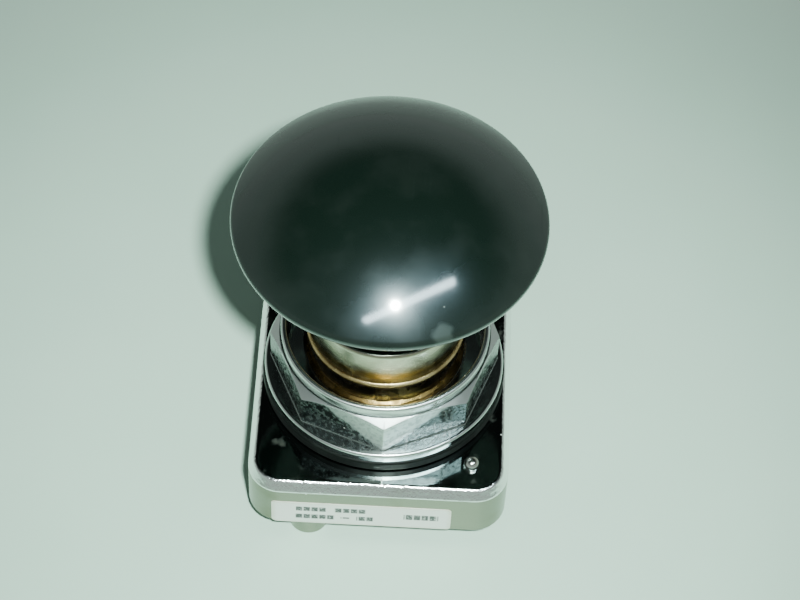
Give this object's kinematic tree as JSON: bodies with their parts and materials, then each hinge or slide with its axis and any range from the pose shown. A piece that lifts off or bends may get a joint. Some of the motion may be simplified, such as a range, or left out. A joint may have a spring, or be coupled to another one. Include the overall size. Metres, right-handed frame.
{
  "type": "industrial plunger push button",
  "caption": "Panel push button: black mushroom head on a sprung stem, threaded brass neck, octagonal clamping nut, rubber gasket and plated square base.",
  "frame": {"origin": "on the stem's axis, at the height of the ends of the mounting posts", "axes": "+Z along the stem towards the head's dome, -Y towards the front face that carries the label, +X to the right seen from the front"},
  "size_m": [0.0572, 0.0572, 0.0764],
  "materials": {
    "base_plating": "bright plating on a die casting",
    "nut_plating": "bright plating, fine pits on the flats",
    "neck_brass": "machined brass, slightly tarnished",
    "collar_nickel": "satin nickel",
    "head_black": "polished black moulding",
    "gasket_rubber": "moulded rubber",
    "seal_rubber": "moulded rubber",
    "label_vinyl": "white vinyl with dark printed bars",
    "stem_steel": "ground steel",
    "plain_steel": "plain turned steel",
    "spring_steel": "drawn spring wire",
    "screw_steel": "black oxide",
    "pin_steel": "polished",
    "plate_zinc": "zinc plated",
    "bush_bronze": "sintered bronze",
    "bush_nylon": "natural nylon"
  },
  "bodies": {
    "operator": {"base_casting": "base_plating", "threaded_neck": "neck_brass", "neck_key": "plain_steel", "neck_collar": "collar_nickel", "wiper_seal": "seal_rubber", "upper_bush": "bush_bronze", "stem_seal": "seal_rubber", "lower_bush": "bush_nylon", "spring_seat": "plain_steel", "return_spring": "spring_steel", "panel_gasket": "gasket_rubber", "octagonal_nut": "nut_plating", "locating_pin": "pin_steel", "rating_label": "label_vinyl"},
    "plunger": {"mushroom_head": "head_black", "head_insert": "neck_brass", "head_set_screw": "screw_steel", "plunger_stem": "stem_steel", "spring_cup": "plain_steel", "retaining_ring": "spring_steel", "bumper_ring": "seal_rubber", "push_plate": "plate_zinc", "push_plate_screw": "screw_steel"}
  },
  "joints": [
    {"name": "press", "type": "slide", "parent": "operator", "child": "plunger", "axis": [0, 0, -1], "range_m": [0, 0.00635], "stiffness_N_per_m": 1200, "springref_m": -0.007, "deforming": ["return_spring"]}
  ]
}
